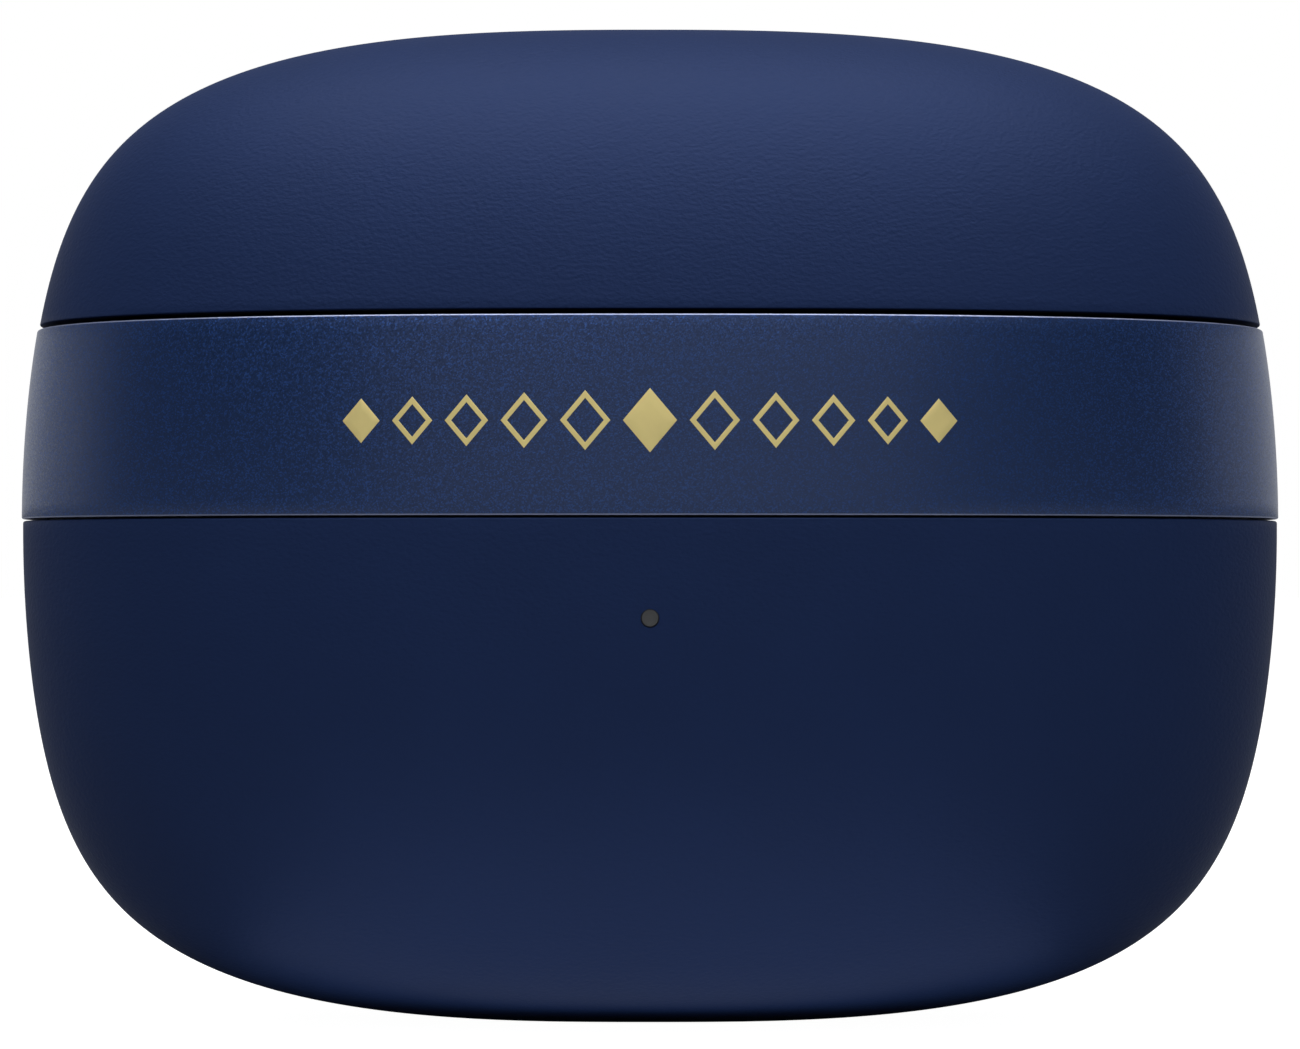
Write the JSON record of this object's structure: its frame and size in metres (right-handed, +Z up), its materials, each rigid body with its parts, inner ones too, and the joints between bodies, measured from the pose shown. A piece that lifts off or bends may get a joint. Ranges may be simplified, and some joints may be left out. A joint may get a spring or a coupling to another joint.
{
  "type": "wireless earbuds case",
  "caption": "Pebble-shaped charging case with a hinged magnetic lid, a satin middle band, sprung charging contacts in two wells and a charging socket at the back.",
  "frame": {"origin": "middle of the flat foot that the case stands on", "axes": "+X to the right seen from the front, -Y out of the front, +Z up through the lid's crown"},
  "size_m": [0.0652, 0.0292, 0.0513],
  "materials": {
    "soft_touch_lid": "matte soft-touch with a fine leathery grain",
    "soft_touch_base": "matte soft-touch with a fine leathery grain",
    "satin_band": "satin metallic navy with a fine sparkle",
    "inner_plastic": "fine matte",
    "frame_plastic": "matte",
    "button_plastic": "satin",
    "hinge_steel": "brushed",
    "screw_steel": "machined",
    "board_laminate": "solder mask",
    "chip_black": "moulded epoxy",
    "component_ceramic": "fired ceramic",
    "led_package": "clear encapsulant",
    "smoke_lens": "smoked clear polycarbonate",
    "battery_pouch": "laminated foil",
    "foam": "open foam",
    "lead_insulation": "silicone sleeve",
    "connector_white": "moulded nylon",
    "socket_steel": "plated steel",
    "socket_insulator": "moulded",
    "gold_contact": "gold plating",
    "spring_steel": "drawn wire",
    "copper_wire": "enamelled copper",
    "ferrite": "sintered",
    "flex_film": "polyimide film",
    "magnet_nickel": "nickel plating",
    "bumper_rubber": "moulded silicone"
  },
  "bodies": {
    "base": {"lower_shell": "soft_touch_base", "mid_band": "satin_band", "cradle": "inner_plastic", "inner_frame": "frame_plastic", "hinge_bracket": "hinge_steel", "hinge_pin": "hinge_steel", "frame_screws": "screw_steel", "hinge_screws": "screw_steel", "board_screws": "screw_steel", "main_board": "board_laminate", "switch_board": "board_laminate", "processor_chip": "chip_black", "power_chip": "chip_black", "hall_sensor": "chip_black", "tact_switch": "chip_black", "board_parts": "component_ceramic", "status_led": "led_package", "light_pipe": "smoke_lens", "battery": "battery_pouch", "battery_pad": "foam", "coil_pad": "foam", "battery_leads": "lead_insulation", "battery_socket": "connector_white", "usb_shell": "socket_steel", "usb_tongue": "socket_insulator", "left_pogo_housing": "socket_insulator", "right_pogo_housing": "socket_insulator", "usb_contacts": "gold_contact", "left_outer_spring": "spring_steel", "left_inner_spring": "spring_steel", "right_inner_spring": "spring_steel", "right_outer_spring": "spring_steel", "charge_coil": "copper_wire", "coil_leads": "copper_wire", "ferrite_sheet": "ferrite", "switch_flex": "flex_film", "base_magnet": "magnet_nickel", "bud_magnets": "magnet_nickel"},
    "lid": {"lid_shell": "soft_touch_lid", "lid_liner": "inner_plastic", "lid_hinge_arm": "hinge_steel", "lid_hinge_screws": "screw_steel", "lid_magnet": "magnet_nickel", "lid_bumpers": "bumper_rubber"},
    "button": {"pairing_button": "button_plastic"},
    "left_outer_contact": {"left_outer_plunger": "gold_contact"},
    "left_inner_contact": {"left_inner_plunger": "gold_contact"},
    "right_inner_contact": {"right_inner_plunger": "gold_contact"},
    "right_outer_contact": {"right_outer_plunger": "gold_contact"}
  },
  "joints": [
    {"name": "lid_hinge", "type": "hinge", "parent": "base", "child": "lid", "pos_m": [0, 0.01309, 0.0357], "axis": [-1, 0, 0], "range_deg": [0, 100]},
    {"name": "pairing_button_press", "type": "slide", "parent": "base", "child": "button", "axis": [0, 0, -1], "range_m": [0, 0.00035], "stiffness_N_per_m": 2500, "springref_m": -0.0001},
    {"name": "left_outer_contact_press", "type": "slide", "parent": "base", "child": "left_outer_contact", "axis": [0, 0, -1], "range_m": [0, 0.0008], "stiffness_N_per_m": 400, "springref_m": -0.0004, "deforming": ["left_outer_spring"]},
    {"name": "left_inner_contact_press", "type": "slide", "parent": "base", "child": "left_inner_contact", "axis": [0, 0, -1], "range_m": [0, 0.0008], "stiffness_N_per_m": 400, "springref_m": -0.0004, "deforming": ["left_inner_spring"]},
    {"name": "right_inner_contact_press", "type": "slide", "parent": "base", "child": "right_inner_contact", "axis": [0, 0, -1], "range_m": [0, 0.0008], "stiffness_N_per_m": 400, "springref_m": -0.0004, "deforming": ["right_inner_spring"]},
    {"name": "right_outer_contact_press", "type": "slide", "parent": "base", "child": "right_outer_contact", "axis": [0, 0, -1], "range_m": [0, 0.0008], "stiffness_N_per_m": 400, "springref_m": -0.0004, "deforming": ["right_outer_spring"]}
  ]
}
